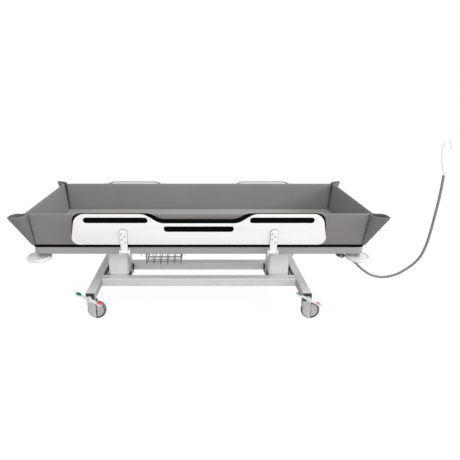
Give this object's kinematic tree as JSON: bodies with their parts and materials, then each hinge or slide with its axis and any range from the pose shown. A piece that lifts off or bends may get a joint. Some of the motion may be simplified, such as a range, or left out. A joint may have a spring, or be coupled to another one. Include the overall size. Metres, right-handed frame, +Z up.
{
  "type": "shower trolley",
  "caption": "Wheeled shower stretcher: soft drained tub on a lifting bed frame, folding slotted side rails, brake pedals, bumper rollers, wire basket and drain hose.",
  "frame": {"origin": "floor level, under the middle of the bed", "axes": "+Z up; +X along the trolley towards the drain end; the near side rail is on the -Y side"},
  "size_m": [2.7173, 0.914, 1.2057],
  "materials": {
    "silver": "satin silver powder coat",
    "pale_silver": "satin pale silver powder coat",
    "white": "satin",
    "black": "satin",
    "castor_grey": "satin",
    "tyre": "matt",
    "vinyl": "padded vinyl, satin",
    "steel": "coated wire",
    "hose_grey": "ribbed plastic hose, satin"
  },
  "bodies": {
    "base": {"base_beam_front": "silver", "base_beam_rear": "silver", "base_leg_left": "pale_silver", "base_leg_right": "pale_silver", "column_foot_left": "black", "column_foot_right": "black", "column_lower_left": "silver", "column_lower_right": "silver"},
    "stage_left": {"column_middle_left": "pale_silver"},
    "stage_right": {"column_middle_right": "pale_silver"},
    "bed": {"bed_rail_front": "silver", "bed_rail_rear": "silver", "bed_end_left": "silver", "bed_end_right": "silver", "bed_crossbar_left": "silver", "bed_crossbar_right": "silver", "platform": "black", "column_sleeve_left": "pale_silver", "column_sleeve_right": "pale_silver", "tub_base": "vinyl", "tub_side_front": "vinyl", "tub_side_rear": "vinyl", "tub_end_left": "vinyl", "tub_end_right": "vinyl", "hinge_bracket_front_left": "white", "hinge_bracket_front_right": "white", "hinge_bracket_rear_left": "white", "hinge_bracket_rear_right": "white", "basket": "steel", "basket_hanger_left": "silver", "basket_hanger_right": "silver", "drain_outlet": "black", "drain_hose": "hose_grey", "hose_hook": "white"},
    "side_rail_front": {"rail_board_front": "white", "rail_backing_front": "black", "rail_arm_front_left": "white", "rail_arm_front_right": "white"},
    "side_rail_rear": {"rail_board_rear": "white", "rail_backing_rear": "black", "rail_arm_rear_left": "white", "rail_arm_rear_right": "white"},
    "castor_front_left": {"castor_hood_front_left": "castor_grey"},
    "castor_front_right": {"castor_hood_front_right": "castor_grey"},
    "castor_rear_left": {"castor_hood_rear_left": "castor_grey"},
    "castor_rear_right": {"castor_hood_rear_right": "castor_grey"},
    "wheel_front_left": {"castor_wheel_front_left": "castor_grey", "castor_tyre_front_left": "tyre"},
    "wheel_front_right": {"castor_wheel_front_right": "castor_grey", "castor_tyre_front_right": "tyre"},
    "wheel_rear_left": {"castor_wheel_rear_left": "castor_grey", "castor_tyre_rear_left": "tyre"},
    "wheel_rear_right": {"castor_wheel_rear_right": "castor_grey", "castor_tyre_rear_right": "tyre"},
    "brake_left": {"pedals_left": "white"},
    "brake_right": {"pedals_right": "white"},
    "roller_front_left": {"bumper_front_left": "white"},
    "roller_front_right": {"bumper_front_right": "white"},
    "roller_rear_left": {"bumper_rear_left": "white"},
    "roller_rear_right": {"bumper_rear_right": "white"}
  },
  "joints": [
    {"name": "lift", "type": "slide", "parent": "base", "child": "bed", "axis": [0, 0, 1], "range_m": [0, 0.35]},
    {"name": "stage_left_lift", "type": "slide", "parent": "base", "child": "stage_left", "axis": [0, 0, 1], "range_m": [0, 0.175]},
    {"name": "stage_right_lift", "type": "slide", "parent": "base", "child": "stage_right", "axis": [0, 0, 1], "range_m": [0, 0.175]},
    {"name": "side_rail_front_fold", "type": "hinge", "parent": "bed", "child": "side_rail_front", "pos_m": [0, -0.377, 0.505], "axis": [1, 0, 0], "range_deg": [0, 160]},
    {"name": "side_rail_rear_fold", "type": "hinge", "parent": "bed", "child": "side_rail_rear", "pos_m": [0, 0.377, 0.505], "axis": [-1, 0, 0], "range_deg": [0, 160]},
    {"name": "swivel_front_left", "type": "hinge", "parent": "base", "child": "castor_front_left", "pos_m": [-0.7195, -0.33, 0.13], "axis": [0, 0, 1], "continuous": true},
    {"name": "swivel_front_right", "type": "hinge", "parent": "base", "child": "castor_front_right", "pos_m": [0.7195, -0.33, 0.13], "axis": [0, 0, 1], "continuous": true},
    {"name": "swivel_rear_left", "type": "hinge", "parent": "base", "child": "castor_rear_left", "pos_m": [-0.7195, 0.33, 0.13], "axis": [0, 0, 1], "continuous": true},
    {"name": "swivel_rear_right", "type": "hinge", "parent": "base", "child": "castor_rear_right", "pos_m": [0.7195, 0.33, 0.13], "axis": [0, 0, 1], "continuous": true},
    {"name": "roll_front_left", "type": "hinge", "parent": "castor_front_left", "child": "wheel_front_left", "pos_m": [-0.6865, -0.33, 0.0625], "axis": [0, 1, 0], "continuous": true},
    {"name": "roll_front_right", "type": "hinge", "parent": "castor_front_right", "child": "wheel_front_right", "pos_m": [0.7525, -0.33, 0.0625], "axis": [0, 1, 0], "continuous": true},
    {"name": "roll_rear_left", "type": "hinge", "parent": "castor_rear_left", "child": "wheel_rear_left", "pos_m": [-0.6865, 0.33, 0.0625], "axis": [0, 1, 0], "continuous": true},
    {"name": "roll_rear_right", "type": "hinge", "parent": "castor_rear_right", "child": "wheel_rear_right", "pos_m": [0.7525, 0.33, 0.0625], "axis": [0, 1, 0], "continuous": true},
    {"name": "brake_left_turn", "type": "hinge", "parent": "base", "child": "brake_left", "pos_m": [-0.7195, 0, 0.1729], "axis": [0, -1, 0], "range_deg": [0, 50]},
    {"name": "brake_right_turn", "type": "hinge", "parent": "base", "child": "brake_right", "pos_m": [0.7195, 0, 0.1729], "axis": [0, -1, 0], "range_deg": [0, 50]},
    {"name": "bumper_front_left_turn", "type": "hinge", "parent": "bed", "child": "roller_front_left", "pos_m": [-1.035, -0.327, 0.4473], "axis": [0, 0, 1], "continuous": true},
    {"name": "bumper_front_right_turn", "type": "hinge", "parent": "bed", "child": "roller_front_right", "pos_m": [1.035, -0.327, 0.4473], "axis": [0, 0, 1], "continuous": true},
    {"name": "bumper_rear_left_turn", "type": "hinge", "parent": "bed", "child": "roller_rear_left", "pos_m": [-1.035, 0.327, 0.4473], "axis": [0, 0, 1], "continuous": true},
    {"name": "bumper_rear_right_turn", "type": "hinge", "parent": "bed", "child": "roller_rear_right", "pos_m": [1.035, 0.327, 0.4473], "axis": [0, 0, 1], "continuous": true}
  ],
  "couplings": [
    {"joint": "stage_left_lift", "follows": "lift", "ratio": 0.5},
    {"joint": "stage_right_lift", "follows": "lift", "ratio": 0.5},
    {"joint": "brake_right_turn", "follows": "brake_left_turn", "ratio": 1}
  ]
}
